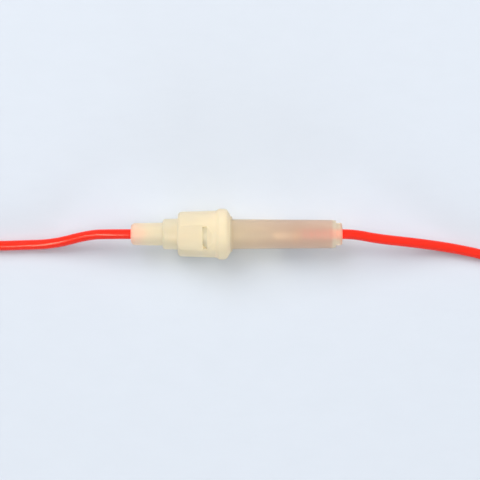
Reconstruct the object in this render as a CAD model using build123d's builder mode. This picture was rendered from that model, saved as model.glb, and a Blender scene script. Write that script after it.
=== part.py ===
from build123d import *
from math import pi, radians, tan
import os

# Inline fuse holder for a glass cartridge fuse.
# Units are millimetres. X runs along the holder from the cap's nose to the tube's end,
# and Z points up. The origin is on the axis, half way along the holder.
# Angles round the axis are measured from +Z towards -Y.

os.makedirs("parts", exist_ok=True)

# Fuse, 6.3 x 32 mm glass cartridge
fuse_length = 31.8
ferrule_radius = 3.175
ferrule_length = 6.35
ferrule_wall = 0.2
ferrule_edge = 0.45
glass_clearance = 0.05
glass_wall = 0.6
glass_inset = 0.9
element_width = 1.4
element_neck_width = 0.5
element_neck_length = 7.0
element_shoulder_length = 1.6
element_thickness = 0.2
fuse_solder_radius = 1.5
fuse_solder_height = 0.8

# Leads, 16 gauge stranded wire
lead_diameter = 3.1
conductor_diameter = 1.53
strip_length = 8.0
lead_clearance = 0.07
conductor_chamfer = 0.15

# Contacts, drawn from brass sheet
contact_wall = 0.35
contact_edge = 0.3
left_contact_radius = 3.55
left_contact_length = 7.0
right_contact_radius = 3.3
right_contact_length = 2.2
contact_solder_radius = 1.5
contact_solder_height = 1.0
left_conductor_length = 13.4
right_conductor_length = 1.6

# Spring
spring_length = 11.5
spring_wire = 0.5
spring_radius = 2.55
spring_turns = 5.5

# Cap, outside. The mouth is the plane that every other station is set out from.
mouth_x = -1.85
mouth_face_radius = 5.75
rim_length = 4.55
rim_radius = 7.94
rim_ramp = 0.95
rim_face_setback = 1.25
rim_round = 1.5
rim_ramp_round = 0.6
barrel_root_radius = 6.95
barrel_end_radius = 7.36
barrel_length = 11.9
barrel_round = 1.2
step_root_radius = 4.7
step_end_radius = 4.85
ledge_thickness = 1.8
step_round = 0.75
nose_length = 9.9
nose_tip_radius = 3.45
nose_root_radius = 3.57
nose_round = 1.3
root_fillet = 0.3
nose_entry = 0.35

# Cap, inside
contact_clearance = 0.1
bore_clearance = 0.1
pocket_gap = 0.5
counterbore_clearance = 0.15
seat_gap = 0.08
ledge_gap = 0.05

# Flats and windows on the barrel
face_tilt = 11.5
flat_height = 5.93
window_setback = 8.65
window_length = 1.4
window_width = 7.3
window_bevel_length = 1.9
window_bevel_height = 6.45

# Twist lock: two lugs on the tube run in two helical grooves in the cap
lock_starts = 2
lock_lead = 16.0
lug_radius = 5.75
lug_half_angle = 33.0
lug_short_side = 1.85
lug_gap = 0.4
lug_root_overlap = 0.4
groove_clearance = 0.12
groove_angle_clearance = 2.0
groove_runout = 0.5

# Tube
plug_radius = 4.7
plug_lead_in = 1.3
plug_chamfer = 0.35
collar_depth = 0.9
collar_proud = 0.55
collar_radius = 5.5
collar_round = 0.15
tube_root_radius = 4.64
tube_end_radius = 4.43
tube_shoulder_radius = 4.22
tube_shoulder_length = 1.3
end_wall = 1.6
boss_length = 1.9
boss_radius = 3.5
boss_round = 0.5
tube_bore_clearance = 0.1
fuse_proud = 2.8

# Stations along the axis, worked outwards from the mouth
window_left = mouth_x - window_setback
window_right = window_left + window_length
lug_left = window_left + lug_gap
plug_tip = lug_left - plug_lead_in
pocket_x = plug_tip - pocket_gap
seat_x = mouth_x - collar_depth
collar_right = mouth_x + collar_proud
rim_left = mouth_x - rim_length
barrel_left = rim_left - barrel_length
fuse_left = plug_tip - fuse_proud
fuse_right = fuse_left + fuse_length
left_contact_back = fuse_left - left_contact_length
ledge_x = left_contact_back - ledge_gap
step_left = ledge_x - ledge_thickness
nose_left = step_left - nose_length
spring_left = fuse_right + contact_wall
end_wall_left = spring_left + spring_length
tube_end = end_wall_left + end_wall
boss_end = tube_end + boss_length

# Radii that follow from the fits
lead_radius = lead_diameter / 2
conductor_radius = conductor_diameter / 2
lead_hole_radius = lead_radius + lead_clearance
contact_pocket_radius = left_contact_radius + contact_clearance
cap_bore_radius = plug_radius + bore_clearance
counterbore_radius = collar_radius + counterbore_clearance
groove_radius = lug_radius + groove_clearance
tube_bore_radius = right_contact_radius + tube_bore_clearance
glass_radius = ferrule_radius - ferrule_wall - glass_clearance

# Stations on the leads
left_strip_x = fuse_left - contact_wall - left_conductor_length
right_strip_x = spring_left + right_conductor_length
floor_z = lead_radius - rim_radius

# Routes of the leads, from inside the holder to the start of the bare end
left_route = [
    (left_strip_x, 0, 0),
    (-38.2, 0, 0),
    (-46.0, -0.1, -1.9),
    (-57.6, -3.1, -5.6),
    (-67.5, -3.45, floor_z),
    (-77.0, -3.75, floor_z),
    (-91.0, -3.3, floor_z),
    (-105.0, -1.2, floor_z),
    (-115.5, -0.3, floor_z),
    (-125.0, -0.3, floor_z),
]
right_route = [
    (right_strip_x, 0, 0),
    (36.8, 0, 0),
    (44.0, -1.45, -1.1),
    (55.0, -2.6, -3.3),
    (66.5, -4.1, -5.6),
    (76.5, -6.1, floor_z),
    (90.0, -9.4, floor_z),
    (104.5, -11.2, floor_z),
    (115.0, -11.5, floor_z),
    (125.0, -11.5, floor_z),
]


def bend_radii(points):
    """The radius of each corner: as large as the shorter run beside it allows."""
    vectors = [Vector(*p) for p in points]
    runs = [b - a for a, b in zip(vectors, vectors[1:])]
    share = 0.45
    return [
        share * min(a.length, b.length) / tan(radians(a.get_angle(b)) / 2)
        for a, b in zip(runs, runs[1:])
    ]


def insulated_lead(points, name):
    """The insulated wire along its route, as one plain tube."""
    radii = bend_radii(points)
    with BuildPart() as lead:
        with BuildLine() as route:
            FilletPolyline(*points, radius=radii)
        with BuildSketch(Plane(origin=route.line @ 0, z_dir=route.line % 0)):
            Circle(lead_radius)
        sweep()
    length = route.wire().length
    ratio = lead.part.volume / (length * pi * lead_radius**2)
    print(name, "radii", [round(r, 1) for r in radii])
    print(name, "length", round(length, 2), "volume ratio", round(ratio, 5))
    return lead.part


def bare_end(route, name):
    """The stripped and tinned end of a lead, in line with its last run."""
    tip = Vector(*route[-1])
    before = Vector(*route[-2])
    with BuildPart() as end:
        with BuildSketch(Plane(origin=tip, z_dir=tip - before)):
            Circle(conductor_radius)
        extrude(amount=strip_length)
        outermost = end.faces().sort_by_distance(before)[-1]
        chamfer(outermost.edges(), conductor_chamfer)
    print(name, "ends at", [round(v, 2) for v in tip])
    return end.part


def rod(start_x, end_x, radius):
    """A plain round rod on the axis."""
    with BuildPart() as piece:
        with BuildSketch(Plane.YZ.offset(start_x)):
            Circle(radius)
        extrude(amount=end_x - start_x)
    return piece.part


def drawn_cup(face_x, length, radius, wall, edge, side):
    """A cup drawn from sheet: its closed face at face_x, its skirt towards side."""
    with BuildPart() as cup:
        with BuildSketch(Plane.YZ.offset(face_x)):
            Circle(radius)
        extrude(amount=side * length)
        closed = cup.faces().sort_by_distance((face_x, 0, 0))[0]
        opened = cup.faces().sort_by_distance((face_x + side * length, 0, 0))[0]
        fillet(closed.edges(), edge)
        offset(amount=-wall, openings=opened)
    return cup.part


def solder_cone(base_x, height, radius, bore, side):
    """A fillet of solder round a rod of radius bore, standing on base_x."""
    with BuildPart() as cone:
        with BuildSketch(Plane.XY):
            with BuildLine():
                Line((base_x, bore), (base_x, radius))
                ThreePointArc(
                    (base_x, radius),
                    (base_x + side * height * 0.35, bore + (radius - bore) * 0.35),
                    (base_x + side * height, bore + conductor_chamfer),
                )
                Line(
                    (base_x + side * height, bore + conductor_chamfer),
                    (base_x + side * height, bore),
                )
                Line((base_x + side * height, bore), (base_x, bore))
            make_face()
        revolve(axis=Axis.X)
    return cone.part


def helical_band(left_x, width, inner_radius, outer_radius, start_angle, turn):
    """A rectangle of thread, carried round the axis along the lock's lead.

    left_x is the band's left edge at start_angle, and turn is how far it is carried.
    """
    middle = (left_x + width / 2, 0, (inner_radius + outer_radius) / 2)
    with BuildPart() as band:
        with BuildLine():
            Helix(
                pitch=lock_lead,
                height=lock_lead * turn / 360,
                radius=middle[2],
                center=(middle[0], 0, 0),
                direction=(1, 0, 0),
            )
        with BuildSketch(Plane(origin=middle, x_dir=(1, 0, 0), z_dir=(0, -1, 0))):
            Rectangle(width, outer_radius - inner_radius)
        sweep(is_frenet=True)
    return band.part.rotate(Axis.X, start_angle)


def nearest_vertex(sketch, x, radius):
    """The corner of an outline that lies at a station and a radius."""
    return sketch.vertices().sort_by_distance((x, radius, 0))[0]


# The window's, flat's and lug's centre angles
lock_angles = [face_tilt + i * 360 / lock_starts for i in range(lock_starts)]

# A lug spans this much along the axis, from its square back to the far end of its flank
lug_turn = 2 * lug_half_angle
lug_helix_rise = lock_lead * lug_turn / 360
lug_band_width = lug_short_side + lug_helix_rise


# Cap
with BuildPart() as cap_shell:
    with BuildSketch(Plane.XY) as cap_outline:
        with BuildLine():
            Polyline(
                (nose_left, 0),
                (nose_left, nose_tip_radius),
                (step_left, nose_root_radius),
                (step_left, step_root_radius),
                (barrel_left, step_end_radius),
                (barrel_left, barrel_root_radius),
                (rim_left, barrel_end_radius),
                (rim_left + rim_ramp, rim_radius),
                (mouth_x - rim_face_setback, rim_radius),
                (mouth_x, mouth_face_radius),
                (mouth_x, 0),
                close=True,
            )
        make_face()
        fillet(nearest_vertex(cap_outline, nose_left, nose_tip_radius), nose_round)
        fillet(nearest_vertex(cap_outline, step_left, step_root_radius), step_round)
        fillet(nearest_vertex(cap_outline, step_left, nose_root_radius), root_fillet)
        fillet(nearest_vertex(cap_outline, barrel_left, barrel_root_radius), barrel_round)
        fillet(nearest_vertex(cap_outline, barrel_left, step_end_radius), root_fillet)
        fillet(nearest_vertex(cap_outline, rim_left, barrel_end_radius), rim_ramp_round)
        fillet(nearest_vertex(cap_outline, rim_left + rim_ramp, rim_radius), rim_ramp_round)
        fillet(nearest_vertex(cap_outline, mouth_x - rim_face_setback, rim_radius), rim_round)
    revolve(axis=Axis.X)

    # Stepped bore: the lead's hole, the contact's pocket, the plug's bore, the collar's seat
    with BuildSketch(Plane.XY):
        with BuildLine():
            Polyline(
                (nose_left, 0),
                (nose_left, lead_hole_radius + nose_entry),
                (nose_left + nose_entry, lead_hole_radius),
                (ledge_x, lead_hole_radius),
                (ledge_x, contact_pocket_radius),
                (pocket_x, contact_pocket_radius),
                (pocket_x, cap_bore_radius),
                (seat_x - seat_gap, cap_bore_radius),
                (seat_x - seat_gap, counterbore_radius),
                (mouth_x, counterbore_radius),
                (mouth_x, 0),
                close=True,
            )
        make_face()
    revolve(axis=Axis.X, mode=Mode.SUBTRACT)

    # Flats, each ending at its window
    for angle in lock_angles:
        tangent_plane = Plane.XY.rotated((angle, 0, 0)).offset(flat_height)
        with BuildSketch(tangent_plane):
            with Locations(((barrel_left + window_left) / 2, 0)):
                Rectangle(window_left - barrel_left, 2 * barrel_end_radius)
        extrude(amount=barrel_end_radius, mode=Mode.SUBTRACT)

    # Windows, cut through the wall over each lug, with the edge towards the rim bevelled
    for angle in lock_angles:
        window_plane = Plane.XY.rotated((angle, 0, 0)).offset(cap_bore_radius - bore_clearance)
        with BuildSketch(window_plane):
            with Locations(((window_left + window_right) / 2, 0)):
                Rectangle(window_length, window_width)
        extrude(amount=barrel_end_radius, mode=Mode.SUBTRACT)
        with BuildSketch(Plane.XZ.rotated((angle, 0, 0))):
            with BuildLine():
                Polyline(
                    (window_right, window_bevel_height),
                    (window_right + window_bevel_length, barrel_end_radius),
                    (window_right, barrel_end_radius),
                    close=True,
                )
            make_face()
        extrude(amount=window_width / 2, both=True, mode=Mode.SUBTRACT)

    # Helical grooves, from each window to the mouth
    groove_width = lug_band_width + 2 * groove_clearance
    groove_start = lug_half_angle + groove_angle_clearance
    groove_left = lug_left - groove_clearance - lug_helix_rise
    groove_rise = mouth_x + groove_runout - lug_left
    groove_turn = lug_turn + groove_angle_clearance + 360 * groove_rise / lock_lead
    groove_lead_back = lock_lead * groove_angle_clearance / 360
    for angle in lock_angles:
        with BuildPart(mode=Mode.PRIVATE) as groove:
            add(
                helical_band(
                    groove_left - groove_lead_back,
                    groove_width,
                    cap_bore_radius - bore_clearance,
                    groove_radius,
                    angle - groove_start,
                    groove_turn,
                )
            )
            split(bisect_by=Plane.YZ.offset(window_left), keep=Keep.TOP)
        add(groove.part, mode=Mode.SUBTRACT)
cap_shell.part.label = "cap_shell"
export_step(cap_shell.part, "parts/cap_shell.step")


# Tube
with BuildPart() as tube_shell:
    with BuildSketch(Plane.XY) as tube_outline:
        with BuildLine():
            Polyline(
                (plug_tip, 0),
                (plug_tip, plug_radius - plug_chamfer),
                (plug_tip + plug_chamfer, plug_radius),
                (seat_x, plug_radius),
                (seat_x, collar_radius),
                (collar_right, collar_radius),
                (collar_right, tube_root_radius),
                (tube_end - tube_shoulder_length, tube_end_radius),
                (tube_end, tube_shoulder_radius),
                (tube_end, boss_radius),
                (boss_end, boss_radius),
                (boss_end, 0),
                close=True,
            )
        make_face()
        fillet(nearest_vertex(tube_outline, collar_right, collar_radius), collar_round)
        fillet(nearest_vertex(tube_outline, tube_end, tube_shoulder_radius), collar_round)
        fillet(nearest_vertex(tube_outline, boss_end, boss_radius), boss_round)
    revolve(axis=Axis.X)

    # Lugs: a helical flank towards the mouth and a square back towards the nose
    for angle in lock_angles:
        with BuildPart(mode=Mode.PRIVATE) as lug:
            add(
                helical_band(
                    lug_left - lug_helix_rise,
                    lug_band_width,
                    plug_radius - lug_root_overlap,
                    lug_radius,
                    angle - lug_half_angle,
                    lug_turn,
                )
            )
            split(bisect_by=Plane.YZ.offset(lug_left), keep=Keep.TOP)
        add(lug.part)

    # Bore for the fuse and spring, and the lead's hole in the end wall
    with BuildSketch(Plane.XY):
        with BuildLine():
            Polyline(
                (plug_tip, 0),
                (plug_tip, tube_bore_radius + plug_chamfer),
                (plug_tip + plug_chamfer, tube_bore_radius),
                (end_wall_left, tube_bore_radius),
                (end_wall_left, lead_hole_radius),
                (boss_end, lead_hole_radius),
                (boss_end, 0),
                close=True,
            )
        make_face()
    revolve(axis=Axis.X, mode=Mode.SUBTRACT)
tube_shell.part.label = "tube_shell"
export_step(tube_shell.part, "parts/tube_shell.step")


# Fuse ferrules
for name, face_x, side in (
    ("fuse_ferrule_left", fuse_left, 1),
    ("fuse_ferrule_right", fuse_right, -1),
):
    ferrule = drawn_cup(face_x, ferrule_length, ferrule_radius, ferrule_wall, ferrule_edge, side)
    ferrule.label = name
    export_step(ferrule, "parts/" + name + ".step")

# Fuse glass
with BuildPart() as fuse_glass:
    with BuildSketch(Plane.YZ.offset(fuse_left + glass_inset)):
        Circle(glass_radius)
        Circle(glass_radius - glass_wall, mode=Mode.SUBTRACT)
    extrude(amount=fuse_length - 2 * glass_inset)
fuse_glass.part.label = "fuse_glass"
export_step(fuse_glass.part, "parts/fuse_glass.step")

# Fuse element: a strip with a narrow neck in the middle
element_left = fuse_left + ferrule_wall + fuse_solder_height
element_right = fuse_right - ferrule_wall - fuse_solder_height
fuse_middle = (fuse_left + fuse_right) / 2
with BuildPart() as fuse_element:
    with BuildSketch(Plane.XY.offset(-element_thickness / 2)):
        with BuildLine():
            neck_start = fuse_middle - element_neck_length / 2
            taper_start = neck_start - element_shoulder_length
            Polyline(
                (element_left, 0),
                (element_left, element_width / 2),
                (taper_start, element_width / 2),
                (neck_start, element_neck_width / 2),
                (fuse_middle, element_neck_width / 2),
                (fuse_middle, 0),
                close=True,
            )
        make_face()
        mirror(about=Plane.XZ)
        mirror(about=Plane.YZ.offset(fuse_middle))
    extrude(amount=element_thickness)
fuse_element.part.label = "fuse_element"
export_step(fuse_element.part, "parts/fuse_element.step")

# Fuse solder drops, domes inside the ferrules
solder_base = fuse_left + ferrule_wall
with BuildPart() as fuse_solder_left:
    with BuildSketch(Plane.XY):
        with Locations((solder_base, 0)):
            Ellipse(fuse_solder_height, fuse_solder_radius)
        with Locations((solder_base + fuse_solder_height / 2, fuse_solder_radius / 2)):
            Rectangle(fuse_solder_height, fuse_solder_radius, mode=Mode.INTERSECT)
    revolve(axis=Axis.X)
fuse_solder_left.part.label = "fuse_solder_left"
export_step(fuse_solder_left.part, "parts/fuse_solder_left.step")

with BuildPart() as fuse_solder_right:
    mirror(fuse_solder_left.part, about=Plane.YZ.offset(fuse_middle))
fuse_solder_right.part.label = "fuse_solder_right"
export_step(fuse_solder_right.part, "parts/fuse_solder_right.step")


# Contacts
contact_left = drawn_cup(
    fuse_left, left_contact_length, left_contact_radius, contact_wall, contact_edge, -1
)
contact_left.label = "contact_left"
export_step(contact_left, "parts/contact_left.step")

contact_right = drawn_cup(
    fuse_right, right_contact_length, right_contact_radius, contact_wall, contact_edge, 1
)
contact_right.label = "contact_right"
export_step(contact_right, "parts/contact_right.step")

# Conductors, stripped inside the holder and soldered to the contacts
conductor_left = rod(left_strip_x, fuse_left - contact_wall, conductor_radius)
conductor_left.label = "conductor_left"
export_step(conductor_left, "parts/conductor_left.step")

conductor_right = rod(spring_left, right_strip_x, conductor_radius)
conductor_right.label = "conductor_right"
export_step(conductor_right, "parts/conductor_right.step")

solder_left = solder_cone(
    fuse_left - contact_wall, contact_solder_height, contact_solder_radius, conductor_radius, -1
)
solder_left.label = "contact_solder_left"
export_step(solder_left, "parts/contact_solder_left.step")

solder_right = solder_cone(
    spring_left, contact_solder_height, contact_solder_radius, conductor_radius, 1
)
solder_right.label = "contact_solder_right"
export_step(solder_right, "parts/contact_solder_right.step")

# Spring, with its ends ground flat on the contact and on the end wall
with BuildPart() as spring:
    spring_pitch = spring_length / spring_turns
    with BuildLine() as coil:
        Helix(
            pitch=spring_pitch,
            height=spring_length,
            radius=spring_radius,
            center=(spring_left, 0, 0),
            direction=(1, 0, 0),
        )
    with BuildSketch(Plane(origin=coil.line @ 0, z_dir=coil.line % 0)):
        Circle(spring_wire / 2)
    sweep(is_frenet=True)
    split(bisect_by=Plane.YZ.offset(spring_left), keep=Keep.TOP)
    split(bisect_by=Plane.YZ.offset(end_wall_left), keep=Keep.BOTTOM)
spring.part.label = "spring"
export_step(spring.part, "parts/spring.step")


# Leads
for name, route in (("left", left_route), ("right", right_route)):
    lead = insulated_lead(route, "lead_" + name)
    lead.label = "lead_" + name
    export_step(lead, "parts/lead_" + name + ".step")
    end = bare_end(route, "bare_end_" + name)
    end.label = "bare_end_" + name
    export_step(end, "parts/bare_end_" + name + ".step")
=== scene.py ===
"""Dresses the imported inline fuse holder: finishes, leads, stripped wire ends, spring and stage."""

import math

import bpy
from bpy.props import FloatProperty, FloatVectorProperty, PointerProperty
from bpy.types import Operator, Panel, PropertyGroup
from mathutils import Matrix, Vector


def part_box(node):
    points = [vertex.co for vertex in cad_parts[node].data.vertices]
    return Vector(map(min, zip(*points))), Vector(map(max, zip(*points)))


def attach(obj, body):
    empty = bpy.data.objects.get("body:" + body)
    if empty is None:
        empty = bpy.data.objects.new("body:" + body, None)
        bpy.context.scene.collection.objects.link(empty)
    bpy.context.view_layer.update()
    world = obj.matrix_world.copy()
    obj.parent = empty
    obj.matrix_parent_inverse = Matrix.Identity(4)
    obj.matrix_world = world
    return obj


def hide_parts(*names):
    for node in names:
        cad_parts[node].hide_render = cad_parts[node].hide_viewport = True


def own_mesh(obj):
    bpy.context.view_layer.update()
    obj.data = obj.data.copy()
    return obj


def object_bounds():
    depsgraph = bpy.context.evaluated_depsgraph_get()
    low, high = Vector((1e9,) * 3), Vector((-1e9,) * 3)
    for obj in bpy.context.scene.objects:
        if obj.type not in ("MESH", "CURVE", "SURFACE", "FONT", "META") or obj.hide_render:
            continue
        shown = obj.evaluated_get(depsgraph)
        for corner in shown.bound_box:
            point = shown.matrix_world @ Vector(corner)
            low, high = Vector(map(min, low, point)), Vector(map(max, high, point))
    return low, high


bl_info = {
    "name": "Inline Fuse Holder",
    "version": (1, 0, 0),
    "blender": (4, 5, 0),
    "location": "View3D > Sidebar > Fuse Holder",
    "description": "Finishes, leads, spring and stage for a twist-lock inline fuse holder",
    "category": "Add Mesh",
}

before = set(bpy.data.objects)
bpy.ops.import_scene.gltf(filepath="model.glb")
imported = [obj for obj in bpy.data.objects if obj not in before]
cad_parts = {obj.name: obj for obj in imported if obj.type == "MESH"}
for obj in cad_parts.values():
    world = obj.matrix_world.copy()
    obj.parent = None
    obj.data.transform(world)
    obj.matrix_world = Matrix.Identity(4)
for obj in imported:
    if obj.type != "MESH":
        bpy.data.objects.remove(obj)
CAD_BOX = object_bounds()

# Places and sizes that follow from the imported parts, in metres
FLOOR_Z = CAD_BOX[0][2]
LEAD_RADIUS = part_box("lead_left")[1][2]
LEAD_Z = FLOOR_Z + LEAD_RADIUS
BOSS_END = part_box("tube_shell")[1][0]
SPRING_LOW, SPRING_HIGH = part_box("spring")

# Where the photograph's middle lies on the holder, in metres
PICTURE_CENTRE = (0.00109, -0.00184)

# Strands in the middle of a stripped end, and in each ring round it
STRAND_COUNTS = (1, 6, 12)
WIRE_SMOOTH_ANGLE = math.radians(50)

# Most of a noise's values lie between these two
NOISE_LOW = 0.3
NOISE_HIGH = 0.7

# Share of a lamp's light that goes on through the nylon and the glass
NYLON_TINT = (0.80, 0.776, 0.72)
GLASS_TINT = (0.95, 0.97, 0.96)

# The leads' routes, from inside the holder to the stripped end
LEFT_ROUTE = (
    (-0.02795, 0, 0),
    (-0.0382, 0, 0),
    (-0.0460, -0.0001, -0.0019),
    (-0.0576, -0.0031, -0.0056),
    (-0.0675, -0.00345, LEAD_Z),
    (-0.0770, -0.00375, LEAD_Z),
    (-0.0910, -0.0033, LEAD_Z),
    (-0.1050, -0.0012, LEAD_Z),
    (-0.1155, -0.0003, LEAD_Z),
    (-0.1250, -0.0003, LEAD_Z),
)
RIGHT_ROUTE = (
    (0.01955, 0, 0),
    (0.0291, 0, 0),
    (0.0368, 0, 0),
    (0.0440, -0.00145, -0.0011),
    (0.0550, -0.0026, -0.0033),
    (0.0665, -0.0041, -0.0056),
    (0.0765, -0.0061, LEAD_Z),
    (0.0900, -0.0094, LEAD_Z),
    (0.1045, -0.0112, LEAD_Z),
    (0.1150, -0.0115, LEAD_Z),
    (0.1250, -0.0115, LEAD_Z),
)
LEFT_LENGTH = 0.0983
RIGHT_LENGTH = 0.1069

# Stations along X where the nylon's tone changes, and how far it takes there; several tones are
# painted light, painted shade and painted red glow
NOSE_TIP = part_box("cap_shell")[0][0]
NOSE_PAINTED_GLOW_END = NOSE_TIP + 0.005
STEP_LEFT = -0.02305
BARREL_LEFT = -0.0183
WINDOW_RIGHT = -0.0091
RIM_LEFT = -0.0064
COLLAR_RIGHT = -0.0013
PLUG_LIGHT_DEPTH = 0.0015
END_WALL = BOSS_END - 0.0035
GLOW_DEPTH = 0.0008


def colour_property(name, description, default):
    """A colour that a user may change."""
    return FloatVectorProperty(
        name=name,
        description=description,
        subtype="COLOR",
        size=3,
        min=0.0,
        max=1.0,
        default=default,
    )


class FuseHolderFinishes(PropertyGroup):
    """Colours of the holder's materials; several nylon tones are painted light, painted shade and
    painted red glow.
    """

    cap: colour_property("Cap", "Natural nylon of the cap's walls", (0.83, 0.74, 0.553))
    # rim_painted_light: painted light, the cap painted lighter from the window to its open end.
    rim_painted_light: colour_property("Rim", "Cap's nylon where it is thick, at the rim", (0.85, 0.757, 0.567))
    # Step tone: painted shade, the cap darker and greener where the dark contact lies behind the
    # wall.
    step: colour_property("Step", "Cap's nylon round the dark contact", (0.785, 0.715, 0.545))
    # nose_painted_glow and glow: painted red glow, standing for the red lead's light coming through
    # the nylon.
    nose_painted_glow: colour_property("Nose", "Cap's nylon round the red lead", (0.865, 0.655, 0.507))
    glow: colour_property("Glow", "Nylon's ends, lit by the red lead inside", (0.92, 0.52, 0.38))
    tube: colour_property("Tube", "Natural nylon of the tube's thin wall", (0.80, 0.68, 0.525))
    # blush_painted_glow: painted red glow round the red lead inside the tube.
    blush_painted_glow: colour_property("Blush", "Tube's nylon round the red lead", (0.79, 0.615, 0.50))
    # plug_painted_light: painted light, the tube's lugs painted lighter against the shade of the
    # cap's window.
    plug_painted_light: colour_property("Plug", "Tube's nylon where it is thick, at lugs", (0.90, 0.88, 0.77))
    boss: colour_property("Boss", "Tube's nylon where its end is thick", (0.825, 0.755, 0.60))
    insulation: colour_property("Insulation", "Soft insulation of the leads", (0.89, 0.018, 0.002))
    brass: colour_property("Brass", "Drawn contacts", (0.72, 0.50, 0.20))
    nickel: colour_property("Nickel", "Plated caps of the fuse", (0.60, 0.585, 0.55))
    tin: colour_property("Tin", "Solder and tinned strands", (0.70, 0.70, 0.70))
    steel: colour_property("Steel", "Coil spring", (0.45, 0.45, 0.46))
    zinc: colour_property("Zinc", "Strip that melts", (0.42, 0.43, 0.45))
    floor: colour_property("Floor", "Floor under the holder", (0.64, 0.68, 0.74))


class FuseHolderWire(PropertyGroup):
    """Sizes of the stranded wire."""

    strand_diameter: FloatProperty(
        name="Strand diameter",
        description="Diameter of one copper strand",
        default=0.000295,
        min=0.0001,
        max=0.001,
        subtype="DISTANCE",
        unit="LENGTH",
    )
    lay_length: FloatProperty(
        name="Lay length",
        description="Length of wire in which the strands turn once",
        default=0.022,
        min=0.005,
        max=0.1,
        subtype="DISTANCE",
        unit="LENGTH",
    )


class FuseHolderSpring(PropertyGroup):
    """Sizes of the coil spring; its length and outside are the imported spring's."""

    wire_diameter: FloatProperty(
        name="Spring wire diameter",
        description="Diameter of the spring's wire",
        default=0.0005,
        min=0.0002,
        max=0.001,
        subtype="DISTANCE",
        unit="LENGTH",
    )
    turns: FloatProperty(
        name="Turns",
        description="Turns of the spring from end to end",
        default=5.5,
        min=2.0,
        max=12.0,
    )


class FuseHolderStage(PropertyGroup):
    """Camera and light."""

    camera_height: FloatProperty(
        name="Camera height",
        description="Height of the camera over the holder's axis",
        default=0.5,
        min=0.2,
        max=3.0,
        subtype="DISTANCE",
        unit="LENGTH",
    )
    picture_width: FloatProperty(
        name="Picture width",
        description="Width of the picture at the holder's axis",
        default=0.15,
        min=0.05,
        max=1.0,
        subtype="DISTANCE",
        unit="LENGTH",
    )
    light: FloatProperty(
        name="Light",
        description="Strength of all lamps together",
        default=1.0,
        min=0.0,
        max=4.0,
        subtype="FACTOR",
    )


def deselect():
    """Leave nothing selected, so that the next operator acts on its own piece alone."""
    if bpy.context.object is not None and bpy.context.object.mode != "OBJECT":
        bpy.ops.object.mode_set(mode="OBJECT")
    bpy.ops.object.select_all(action="DESELECT")


def add_group_socket(group, name, direction, kind, default=None):
    """One named socket of a node group."""
    made = group.interface.new_socket(name, in_out=direction, socket_type="NodeSocket" + kind)
    if default is not None:
        made.default_value = default
    return made


def start_group(name, inputs, outputs):
    """A node group with named inputs and outputs, its two end nodes and its links."""
    group = bpy.data.node_groups.new(name, "ShaderNodeTree")
    for socket_name, kind, default in inputs:
        add_group_socket(group, socket_name, "INPUT", kind, default)
    for socket_name, kind in outputs:
        add_group_socket(group, socket_name, "OUTPUT", kind)
    return group, group.nodes.new("NodeGroupInput"), group.nodes.new("NodeGroupOutput")


def add_math(tree, operation, first, second):
    """A math node; each side is a socket or a number."""
    node = tree.nodes.new("ShaderNodeMath")
    node.operation = operation
    for i, side in enumerate((first, second)):
        if isinstance(side, bpy.types.NodeSocket):
            tree.links.new(side, node.inputs[i])
        else:
            node.inputs[i].default_value = side
    return node.outputs[0]


def add_blend(tree, first, first_share, second, second_share):
    """Two patterns added together, each times its share."""
    return add_math(
        tree,
        "ADD",
        add_math(tree, "MULTIPLY", first, first_share),
        add_math(tree, "MULTIPLY", second, second_share),
    )


def add_noise(tree, coordinates, scale, detail, stretch=(1.0, 1.0, 1.0)):
    """Noise whose grain is about one over scale, in metres, stretched along the axes."""
    mapping = tree.nodes.new("ShaderNodeMapping")
    mapping.inputs["Scale"].default_value = stretch
    noise = tree.nodes.new("ShaderNodeTexNoise")
    noise.inputs["Scale"].default_value = scale
    noise.inputs["Detail"].default_value = detail
    tree.links.new(coordinates, mapping.inputs["Vector"])
    tree.links.new(mapping.outputs["Vector"], noise.inputs["Vector"])
    return noise.outputs["Fac"]


def add_range(tree, value, low, high):
    """A noise's value spread from low to high."""
    node = tree.nodes.new("ShaderNodeMapRange")
    node.inputs["From Min"].default_value = NOISE_LOW
    node.inputs["From Max"].default_value = NOISE_HIGH
    for name, side in (("To Min", low), ("To Max", high)):
        if isinstance(side, bpy.types.NodeSocket):
            tree.links.new(side, node.inputs[name])
        else:
            node.inputs[name].default_value = side
    tree.links.new(value, node.inputs["Value"])
    return node.outputs["Result"]


def add_colour_mix(tree, factor, first, second, blend="MIX"):
    """A colour mix node's result."""
    node = tree.nodes.new("ShaderNodeMix")
    node.data_type = "RGBA"
    node.blend_type = blend
    for name, side in (("Factor", factor), ("A", first), ("B", second)):
        socket = next(s for s in node.inputs if s.name == name and s.enabled)
        if isinstance(side, bpy.types.NodeSocket):
            tree.links.new(side, socket)
        else:
            socket.default_value = side
    return next(s for s in node.outputs if s.enabled)


def add_shade(group, pattern, given):
    """The group's colour, darkened where the pattern is high by up to its share of shade."""
    share = add_range(group, pattern, 0.0, given.outputs["Shade"])
    return add_colour_mix(group, share, given.outputs["Colour"], (0.0, 0.0, 0.0, 1.0))


def add_tones(tree, coordinates, tones):
    """A colour that blends along X through pairs of station and colour."""
    first = tones[0][0]
    reach = tones[-1][0] - first
    apart = tree.nodes.new("ShaderNodeSeparateXYZ")
    tree.links.new(coordinates, apart.inputs[0])
    along = add_math(tree, "DIVIDE", add_math(tree, "SUBTRACT", apart.outputs["X"], first), reach)
    ramp = tree.nodes.new("ShaderNodeValToRGB")
    stops = ramp.color_ramp.elements
    while len(stops) < len(tones):
        stops.new(0.5)
    for stop, (station, colour) in zip(stops, tones):
        stop.position = (station - first) / reach
        stop.color = with_alpha(colour)
    tree.links.new(along, ramp.inputs["Fac"])
    return ramp.outputs["Color"]


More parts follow.
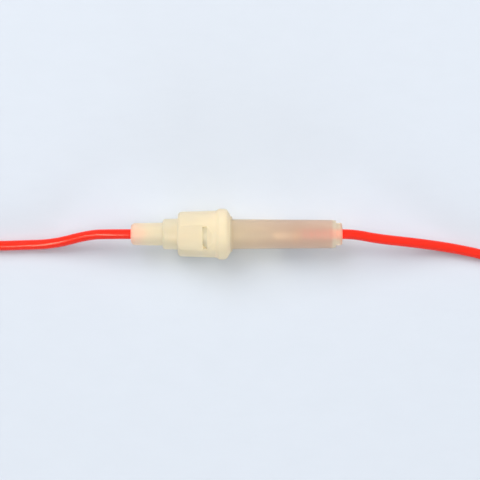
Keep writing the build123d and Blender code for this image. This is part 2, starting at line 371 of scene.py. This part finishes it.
def moulded_skin():
    """Group for moulded plastic: cloudy tone, uneven gloss and the fine grain of the mould."""
    group, given, result = start_group(
        "Moulded skin",
        (
            ("Coordinates", "Vector", None),
            ("Colour", "Color", (0.8, 0.8, 0.8, 1.0)),
            ("Shade", "Float", 0.05),
            ("Gloss low", "Float", 0.3),
            ("Gloss high", "Float", 0.45),
        ),
        (("Colour", "Color"), ("Roughness", "Float"), ("Height", "Float")),
    )
    place = given.outputs["Coordinates"]
    cloud = add_noise(group, place, 160.0, 3.0, (0.6, 1.0, 1.0))
    flow = add_noise(group, place, 700.0, 2.0, (0.25, 1.0, 1.0))
    grain = add_noise(group, place, 5200.0, 2.0)
    tone = add_blend(group, cloud, 0.7, flow, 0.3)
    colour = add_shade(group, tone, given)
    gloss = add_range(group, flow, given.outputs["Gloss low"], given.outputs["Gloss high"])
    height = add_blend(group, flow, 0.6, grain, 0.4)
    group.links.new(colour, result.inputs["Colour"])
    group.links.new(gloss, result.inputs["Roughness"])
    group.links.new(height, result.inputs["Height"])
    return group


def worked_metal():
    """Group for metal: marks along or round the axis, and a faint bloom."""
    group, given, result = start_group(
        "Worked metal",
        (
            ("Coordinates", "Vector", None),
            ("Colour", "Color", (0.8, 0.8, 0.8, 1.0)),
            ("Shade", "Float", 0.15),
            ("Gloss low", "Float", 0.15),
            ("Gloss high", "Float", 0.35),
        ),
        (("Colour", "Color"), ("Roughness", "Float"), ("Height", "Float")),
    )
    place = given.outputs["Coordinates"]
    bloom = add_noise(group, place, 420.0, 4.0)
    marks = add_noise(group, place, 2600.0, 2.0, (0.08, 1.0, 1.0))
    colour = add_shade(group, bloom, given)
    mixed = add_blend(group, bloom, 0.4, marks, 0.6)
    gloss = add_range(group, mixed, given.outputs["Gloss low"], given.outputs["Gloss high"])
    group.links.new(colour, result.inputs["Colour"])
    group.links.new(gloss, result.inputs["Roughness"])
    group.links.new(marks, result.inputs["Height"])
    return group


def group_named(name, maker):
    """The node group of that name, made the first time."""
    return bpy.data.node_groups.get(name) or maker()


def with_alpha(colour):
    """A colour as the four numbers of a socket."""
    return (*colour[:3], 1.0)


def textured_material(
    name, maker, group_name, tones, values, bump_depth, bump_strength, constants
):
    """A material whose colour, gloss and bump come from one of the groups.

    tones is one colour, or pairs of station along X and colour.
    values are the group's shade, low gloss and high gloss.
    """
    material = bpy.data.materials.new(name)
    material.use_nodes = True
    tree = material.node_tree
    shader = tree.nodes["Principled BSDF"]
    coordinates = tree.nodes.new("ShaderNodeTexCoord")
    skin = tree.nodes.new("ShaderNodeGroup")
    skin.node_tree = group_named(group_name, maker)
    tree.links.new(coordinates.outputs["Object"], skin.inputs["Coordinates"])
    if isinstance(tones[0], tuple):
        blended = add_tones(tree, coordinates.outputs["Object"], tones)
        tree.links.new(blended, skin.inputs["Colour"])
    else:
        skin.inputs["Colour"].default_value = with_alpha(tones)
    for socket_name, value in zip(("Shade", "Gloss low", "Gloss high"), values):
        skin.inputs[socket_name].default_value = value
    bump = tree.nodes.new("ShaderNodeBump")
    bump.inputs["Distance"].default_value = bump_depth
    bump.inputs["Strength"].default_value = bump_strength
    tree.links.new(skin.outputs["Height"], bump.inputs["Height"])
    tree.links.new(skin.outputs["Colour"], shader.inputs["Base Color"])
    tree.links.new(skin.outputs["Roughness"], shader.inputs["Roughness"])
    tree.links.new(bump.outputs["Normal"], shader.inputs["Normal"])
    for socket_name, value in constants.items():
        shader.inputs[socket_name].default_value = value
    return material


def let_lamps_through(material, tint):
    """Mix in a clear shader for the rays from lamps, so that what is inside is lit."""
    tree = material.node_tree
    shader = tree.nodes["Principled BSDF"]
    output = next(n for n in tree.nodes if n.type == "OUTPUT_MATERIAL")
    path = tree.nodes.new("ShaderNodeLightPath")
    clear = tree.nodes.new("ShaderNodeBsdfTransparent")
    clear.inputs["Color"].default_value = with_alpha(tint)
    mix = tree.nodes.new("ShaderNodeMixShader")
    tree.links.new(path.outputs["Is Shadow Ray"], mix.inputs[0])
    tree.links.new(shader.outputs["BSDF"], mix.inputs[1])
    tree.links.new(clear.outputs["BSDF"], mix.inputs[2])
    tree.links.new(mix.outputs["Shader"], output.inputs["Surface"])


def nylon_material(name, tones, clearness, milkiness, gloss):
    """Translucent nylon.

    clearness is the share of light that goes through, and milkiness the share spread inside.
    """
    material = textured_material(
        name,
        moulded_skin,
        "Moulded skin",
        tones,
        values=(0.05, gloss - 0.05, gloss + 0.07),
        bump_depth=0.00003,
        bump_strength=0.35,
        constants={
            "IOR": 1.45,
            "Specular IOR Level": 0.1,
            "Sheen Weight": 0.1,
            "Sheen Roughness": 0.4,
            "Transmission Weight": clearness,
            "Subsurface Weight": milkiness,
            "Subsurface Scale": 0.0015,
            "Subsurface Radius": (1.0, 0.8, 0.5),
        },
    )
    let_lamps_through(material, NYLON_TINT)
    return material


def metal_material(name, colour, values, bump_strength):
    """Worked metal. values are the group's shade, low gloss and high gloss."""
    return textured_material(
        name,
        worked_metal,
        "Worked metal",
        colour,
        values,
        bump_depth=0.00002,
        bump_strength=bump_strength,
        constants={"Metallic": 1.0},
    )


def dress(names, material):
    """Give CAD nodes a finished material in place of their plain one."""
    for name in names:
        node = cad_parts[name]
        if not node.material_slots:
            raise RuntimeError(name + " has no material slot")
        for slot in node.material_slots:
            slot.material = material


class FUSEHOLDER_OT_camera(Operator):
    """Add the camera straight above the holder"""

    bl_idname = "fuseholder.camera"
    bl_label = "Camera"

    def execute(self, context):
        stage = context.scene.fuse_holder_stage
        deselect()
        bpy.ops.object.camera_add(location=(*PICTURE_CENTRE, stage.camera_height))
        camera = context.object
        camera.name = "camera"
        camera.data.sensor_width = 36.0
        camera.data.lens = camera.data.sensor_width * stage.camera_height / stage.picture_width
        camera.data.clip_start = 0.01
        camera.data.clip_end = 20.0
        context.scene.camera = camera
        return {"FINISHED"}


def add_lead(name, route, body, node, material):
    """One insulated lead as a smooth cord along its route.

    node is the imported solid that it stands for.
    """
    line = bpy.data.curves.new(name, "CURVE")
    line.dimensions = "3D"
    line.bevel_depth = LEAD_RADIUS
    line.bevel_resolution = 8
    line.use_fill_caps = True
    spline = line.splines.new("NURBS")
    spline.points.add(len(route) - 1)
    for point, place in zip(spline.points, route):
        point.co = (*place, 1.0)
    spline.order_u = 3
    spline.use_endpoint_u = True
    spline.resolution_u = 16
    line.resolution_u = 16
    lead = bpy.data.objects.new(name, line)
    bpy.context.scene.collection.objects.link(lead)
    line.materials.append(material)
    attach(lead, body)
    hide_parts(node)


class FUSEHOLDER_OT_leads(Operator):
    """Lay the two red leads"""

    bl_idname = "fuseholder.leads"
    bl_label = "Leads"

    def execute(self, context):
        finishes = context.scene.fuse_holder_finishes
        insulation = textured_material(
            "Soft red insulation",
            moulded_skin,
            "Moulded skin",
            finishes.insulation,
            values=(0.08, 0.36, 0.46),
            bump_depth=0.00002,
            bump_strength=0.06,
            constants={
                "Subsurface Weight": 0.15,
                "Subsurface Scale": 0.001,
                "Specular IOR Level": 0.04,
                "Coat Weight": 0.55,
                "Coat Roughness": 0.19,
            },
        )
        for name, route, length, body, node, bare in (
            (
                "insulated_lead_left",
                LEFT_ROUTE,
                LEFT_LENGTH,
                "left_lead",
                "lead_left",
                "strands_left",
            ),
            (
                "insulated_lead_right",
                RIGHT_ROUTE,
                RIGHT_LENGTH,
                "plunger",
                "lead_right",
                "strands_right",
            ),
        ):
            add_lead(name, route, body, node, insulation)
        return {"FINISHED"}


def wind_wire(start, ring_radius, wire_radius, tilt, length, turn, sides, steps):
    """A round wire wound about the line along X through start, which stays the object's origin.

    tilt turns the wire's round section about Y, from facing Z towards facing X.
    """
    deselect()
    bpy.ops.mesh.primitive_circle_add(
        vertices=sides,
        radius=wire_radius,
        fill_type="NOTHING",
        location=(start[0], start[1] + ring_radius, start[2]),
        rotation=(0.0, tilt, 0.0),
    )
    wire = bpy.context.object
    bpy.ops.object.transform_apply(location=True, rotation=True, scale=True)
    bpy.context.scene.cursor.location = start
    bpy.ops.object.origin_set(type="ORIGIN_CURSOR")
    winding = wire.modifiers.new("Winding", "SCREW")
    winding.axis = "X"
    winding.angle = turn
    winding.screw_offset = length
    winding.steps = steps
    winding.render_steps = steps
    winding.use_normal_calculate = True
    bpy.ops.object.modifier_apply(modifier=winding.name)
    bpy.ops.object.mode_set(mode="EDIT")
    bpy.ops.mesh.select_all(action="DESELECT")
    bpy.ops.mesh.select_mode(type="EDGE")
    bpy.ops.mesh.select_non_manifold()
    bpy.ops.mesh.edge_face_add()
    bpy.ops.mesh.select_all(action="SELECT")
    bpy.ops.mesh.normals_make_consistent(inside=False)
    bpy.ops.object.mode_set(mode="OBJECT")
    return wire


class FUSEHOLDER_OT_strands(Operator):
    """Twist the tinned strands of the two stripped ends"""

    bl_idname = "fuseholder.strands"
    bl_label = "Stripped ends"

    def execute(self, context):
        finishes = context.scene.fuse_holder_finishes
        tinned = metal_material("Tinned strands", finishes.tin, (0.2, 0.22, 0.4), 0.3)
        for side, body in (("left", "left_lead"), ("right", "plunger")):
            self.add_bundle(context, side, body, tinned)
        return {"FINISHED"}

    def add_bundle(self, context, side, body, tinned):
        """The strands of one end, in rings round the middle one."""
        wire = context.scene.fuse_holder_wire
        node = "bare_end_" + side
        low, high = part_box(node)
        length = high[0] - low[0]
        middle_y = (low[1] + high[1]) / 2
        middle_z = (low[2] + high[2]) / 2
        turn = 2 * math.pi * length / wire.lay_length
        strands = []
        for ring, count in enumerate(STRAND_COUNTS):
            first = wind_wire(
                start=(low[0], middle_y, middle_z),
                ring_radius=ring * wire.strand_diameter,
                wire_radius=wire.strand_diameter / 2,
                tilt=math.pi / 2,
                length=length,
                turn=turn,
                sides=8,
                steps=28,
            )
            strands.append(first)
            for i in range(1, count):
                copy = first.copy()
                copy.data = first.data.copy()
                copy.rotation_euler = (2 * math.pi * i / count, 0.0, 0.0)
                context.scene.collection.objects.link(copy)
                strands.append(copy)
        deselect()
        for strand in strands:
            strand.select_set(True)
        context.view_layer.objects.active = strands[0]
        bpy.ops.object.join()
        bundle = context.object
        bundle.name = "strands_" + side
        bpy.ops.object.transform_apply(location=True, rotation=True, scale=True)
        bpy.ops.object.shade_smooth_by_angle(angle=WIRE_SMOOTH_ANGLE)
        bundle.data.materials.clear()
        bundle.data.materials.append(tinned)
        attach(bundle, body)
        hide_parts(node)


class FUSEHOLDER_OT_spring(Operator):
    """Wind the coil spring"""

    bl_idname = "fuseholder.spring"
    bl_label = "Spring"

    def execute(self, context):
        sizes = context.scene.fuse_holder_spring
        length = SPRING_HIGH[0] - SPRING_LOW[0]
        coil_radius = SPRING_HIGH[2] - sizes.wire_diameter / 2
        spring = wind_wire(
            start=(SPRING_LOW[0], 0.0, 0.0),
            ring_radius=coil_radius,
            wire_radius=sizes.wire_diameter / 2,
            tilt=math.atan2(length / sizes.turns, 2 * math.pi * coil_radius),
            length=length,
            turn=2 * math.pi * sizes.turns,
            sides=16,
            steps=round(32 * sizes.turns),
        )
        spring.name = "coil_spring"
        spring.rotation_euler = (math.pi / 2, 0.0, 0.0)
        bpy.ops.object.transform_apply(location=True, rotation=True, scale=True)
        self.grind_ends(spring, length)
        bpy.ops.object.shade_smooth_by_angle(angle=WIRE_SMOOTH_ANGLE)
        steel = context.scene.fuse_holder_finishes.steel
        spring.data.materials.clear()
        spring.data.materials.append(metal_material("Spring wire", steel, (0.15, 0.2, 0.34), 0.2))
        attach(spring, "tube")
        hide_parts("spring")
        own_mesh(spring)
        return {"FINISHED"}

    def grind_ends(self, spring, length):
        """Keep what lies between the contact and the end wall, so that both ends are flat."""
        deselect()
        bpy.ops.mesh.primitive_cylinder_add(
            vertices=48,
            radius=SPRING_HIGH[2] * 1.5,
            depth=length,
            location=(SPRING_LOW[0] + length / 2, 0.0, 0.0),
            rotation=(0.0, math.pi / 2, 0.0),
        )
        room = bpy.context.object
        deselect()
        spring.select_set(True)
        bpy.context.view_layer.objects.active = spring
        grinding = spring.modifiers.new("Grinding", "BOOLEAN")
        grinding.operation = "INTERSECT"
        grinding.solver = "EXACT"
        grinding.object = room
        bpy.ops.object.modifier_apply(modifier=grinding.name)
        bpy.data.objects.remove(room)


class FUSEHOLDER_OT_nylon(Operator):
    """Finish the moulded cap and tube"""

    bl_idname = "fuseholder.nylon"
    bl_label = "Cap and tube"

    def execute(self, context):
        finishes = context.scene.fuse_holder_finishes
        cap_tones = (
            # Painted red glow at the cap's tip, from the red lead inside
            (NOSE_TIP, tuple(finishes.glow)),
            (NOSE_TIP + GLOW_DEPTH, tuple(finishes.nose_painted_glow)),
            (NOSE_PAINTED_GLOW_END, tuple(finishes.cap)),
            # Painted shade where the dark contact lies behind the wall
            (STEP_LEFT, tuple(finishes.step)),
            (BARREL_LEFT, tuple(finishes.step)),
            (BARREL_LEFT + GLOW_DEPTH, tuple(finishes.cap)),
            (WINDOW_RIGHT, tuple(finishes.cap)),
            # Painted light, rising from the window to the cap's open end
            (RIM_LEFT, tuple(finishes.rim_painted_light)),
        )
        tube_tones = (
            # Painted light on the lugs, against the shade of the cap's window
            (COLLAR_RIGHT - PLUG_LIGHT_DEPTH, tuple(finishes.plug_painted_light)),
            (COLLAR_RIGHT, tuple(finishes.tube)),
            # Painted red glow round the red lead, and at the tube's end
            (RIGHT_ROUTE[0][0], tuple(finishes.blush_painted_glow)),
            (END_WALL, tuple(finishes.blush_painted_glow)),
            (END_WALL + GLOW_DEPTH, tuple(finishes.boss)),
            (BOSS_END - GLOW_DEPTH, tuple(finishes.boss)),
            (BOSS_END, tuple(finishes.glow)),
        )
        dress(
            ("cap_shell",),
            nylon_material("Nylon cap", cap_tones, clearness=0.4, milkiness=0.3, gloss=0.40),
        )
        dress(
            ("tube_shell",),
            nylon_material("Nylon tube", tube_tones, clearness=0.7, milkiness=0.0, gloss=0.42),
        )
        return {"FINISHED"}


class FUSEHOLDER_OT_fuse(Operator):
    """Finish the glass fuse"""

    bl_idname = "fuseholder.fuse"
    bl_label = "Fuse"

    def execute(self, context):
        finishes = context.scene.fuse_holder_finishes
        glass = textured_material(
            "Fuse glass",
            moulded_skin,
            "Moulded skin",
            (0.95, 0.98, 0.96),
            values=(0.03, 0.02, 0.06),
            bump_depth=0.00001,
            bump_strength=0.1,
            constants={"IOR": 1.5, "Transmission Weight": 1.0},
        )
        let_lamps_through(glass, GLASS_TINT)
        dress(("fuse_glass",), glass)
        dress(
            ("fuse_ferrule_left", "fuse_ferrule_right"),
            metal_material("Nickel plate", finishes.nickel, (0.15, 0.40, 0.56), 0.15),
        )
        dress(
            ("fuse_element",),
            metal_material("Zinc strip", finishes.zinc, (0.25, 0.35, 0.55), 0.3),
        )
        dress(
            (
                "fuse_solder_left",
                "fuse_solder_right",
                "contact_solder_left",
                "contact_solder_right",
            ),
            metal_material("Solder", finishes.tin, (0.1, 0.15, 0.3), 0.2),
        )
        return {"FINISHED"}


class FUSEHOLDER_OT_contacts(Operator):
    """Finish the contacts and the wire inside"""

    bl_idname = "fuseholder.contacts"
    bl_label = "Contacts"

    def execute(self, context):
        finishes = context.scene.fuse_holder_finishes
        dress(
            ("contact_left", "contact_right"),
            metal_material("Drawn brass", finishes.brass, (0.2, 0.2, 0.36), 0.3),
        )
        dress(
            ("conductor_left", "conductor_right"),
            metal_material("Tinned wire", finishes.tin, (0.15, 0.25, 0.42), 0.4),
        )
        return {"FINISHED"}


def add_lamp(name, place, aim, width, depth, power, colour):
    """A soft rectangular lamp that points at aim, and never shows through the nylon."""
    deselect()
    bpy.ops.object.light_add(type="AREA", location=place)
    lamp = bpy.context.object
    lamp.name = name
    lamp.data.shape = "RECTANGLE"
    lamp.data.size = width
    lamp.data.size_y = depth
    lamp.data.energy = power
    lamp.data.color = colour
    lamp.visible_transmission = False
    direction = Vector(aim) - Vector(place)
    lamp.rotation_euler = direction.to_track_quat("-Z", "Y").to_euler()
    return lamp


class FUSEHOLDER_OT_stage(Operator):
    """Add the floor, the lamps and the pale surroundings"""

    bl_idname = "fuseholder.stage"
    bl_label = "Stage"

    def execute(self, context):
        scene = context.scene
        scene.view_settings.view_transform = "Standard"
        finishes = scene.fuse_holder_finishes
        light = scene.fuse_holder_stage.light
        deselect()
        bpy.ops.mesh.primitive_plane_add(size=2.6, location=(0.0, 0.0, FLOOR_Z))
        floor = context.object
        floor.name = "floor"
        bpy.ops.object.transform_apply(location=True, rotation=True, scale=True)
        floor.data.materials.append(self.floor_material(finishes.floor))
        white = (1.0, 1.0, 1.0)
        warm = (1.0, 0.86, 0.62)
        cool = (0.85, 0.93, 1.0)
        middle = (0.0, 0.0, 0.0)
        for name, place, size, power, colour in (
            ("key_lamp", (-0.7, 1.1, 1.3), (1.2, 1.2), 31.0, white),
            ("top_lamp", (-0.1, -0.1, 1.3), (0.7, 0.7), 2.6, cool),
            ("low_lamp", (0.1, -1.3, 0.25), (0.9, 0.4), 8.0, cool),
        ):
            add_lamp(name, place, middle, *size, power * light, colour).visible_glossy = False
        add_lamp("side_lamp", (1.3, 0.2, 0.9), middle, 0.8, 0.8, 8.0 * light, white)
        left_lead = (-0.05, 0.0, 0.0)
        sheen = add_lamp(
            "sheen_lamp", (-0.55, -0.30, 1.1), left_lead, 0.9, 0.36, 15.5 * light, warm
        )
        sheen.visible_diffuse = False
        self.surround(scene, strength=0.3 * light)
        return {"FINISHED"}

    def floor_material(self, colour):
        """Plain pale floor with a faint unevenness."""
        return textured_material(
            "Pale floor",
            moulded_skin,
            "Moulded skin",
            colour,
            values=(0.015, 0.75, 0.85),
            bump_depth=0.00001,
            bump_strength=0.1,
            constants={"Specular IOR Level": 0.2},
        )

    def surround(self, scene, strength):
        """Even light from all round, seen as pale by the camera and in gloss and glass."""
        world = bpy.data.worlds.new("Pale surroundings")
        scene.world = world
        world.use_nodes = True
        tree = world.node_tree
        tree.nodes.clear()
        lit = tree.nodes.new("ShaderNodeBackground")
        lit.inputs["Color"].default_value = (1.0, 1.0, 1.0, 1.0)
        lit.inputs["Strength"].default_value = strength
        seen = tree.nodes.new("ShaderNodeBackground")
        seen.inputs["Color"].default_value = (0.86, 0.89, 0.93, 1.0)
        seen.inputs["Strength"].default_value = 1.0
        path = tree.nodes.new("ShaderNodeLightPath")
        mix = tree.nodes.new("ShaderNodeMixShader")
        output = tree.nodes.new("ShaderNodeOutputWorld")
        shown = path.outputs["Is Camera Ray"]
        for ray in ("Is Glossy Ray", "Is Transmission Ray"):
            shown = add_math(tree, "MAXIMUM", shown, path.outputs[ray])
        tree.links.new(shown, mix.inputs[0])
        tree.links.new(lit.outputs[0], mix.inputs[1])
        tree.links.new(seen.outputs[0], mix.inputs[2])
        tree.links.new(mix.outputs[0], output.inputs["Surface"])


OPERATORS = (
    FUSEHOLDER_OT_camera,
    FUSEHOLDER_OT_strands,
    FUSEHOLDER_OT_leads,
    FUSEHOLDER_OT_spring,
    FUSEHOLDER_OT_nylon,
    FUSEHOLDER_OT_fuse,
    FUSEHOLDER_OT_contacts,
    FUSEHOLDER_OT_stage,
)


class FUSEHOLDER_PT_panel(Panel):
    """Lists the steps that dress the fuse holder"""

    bl_label = "Inline Fuse Holder"
    bl_idname = "FUSEHOLDER_PT_panel"
    bl_space_type = "VIEW_3D"
    bl_region_type = "UI"
    bl_category = "Fuse Holder"

    def draw(self, context):
        column = self.layout.column()
        for name, _ in GROUPS:
            group = getattr(context.scene, name)
            for key in group.__annotations__:
                column.prop(group, key)
        for operator in OPERATORS:
            column.operator(operator.bl_idname)


GROUPS = (
    ("fuse_holder_finishes", FuseHolderFinishes),
    ("fuse_holder_wire", FuseHolderWire),
    ("fuse_holder_spring", FuseHolderSpring),
    ("fuse_holder_stage", FuseHolderStage),
)
CLASSES = tuple(group for _, group in GROUPS) + OPERATORS + (FUSEHOLDER_PT_panel,)


def register():
    for cls in CLASSES:
        bpy.utils.register_class(cls)
    for name, group in GROUPS:
        setattr(bpy.types.Scene, name, PointerProperty(type=group))


def unregister():
    for name, _ in GROUPS:
        delattr(bpy.types.Scene, name)
    for cls in reversed(CLASSES):
        bpy.utils.unregister_class(cls)


def main():
    """Dress the holder, step by step."""
    register()
    bpy.ops.fuseholder.camera()
    bpy.ops.fuseholder.strands()
    bpy.ops.fuseholder.leads()
    bpy.ops.fuseholder.spring()
    bpy.ops.fuseholder.nylon()
    bpy.ops.fuseholder.fuse()
    bpy.ops.fuseholder.contacts()
    bpy.ops.fuseholder.stage()


if __name__ == "__main__":
    main()
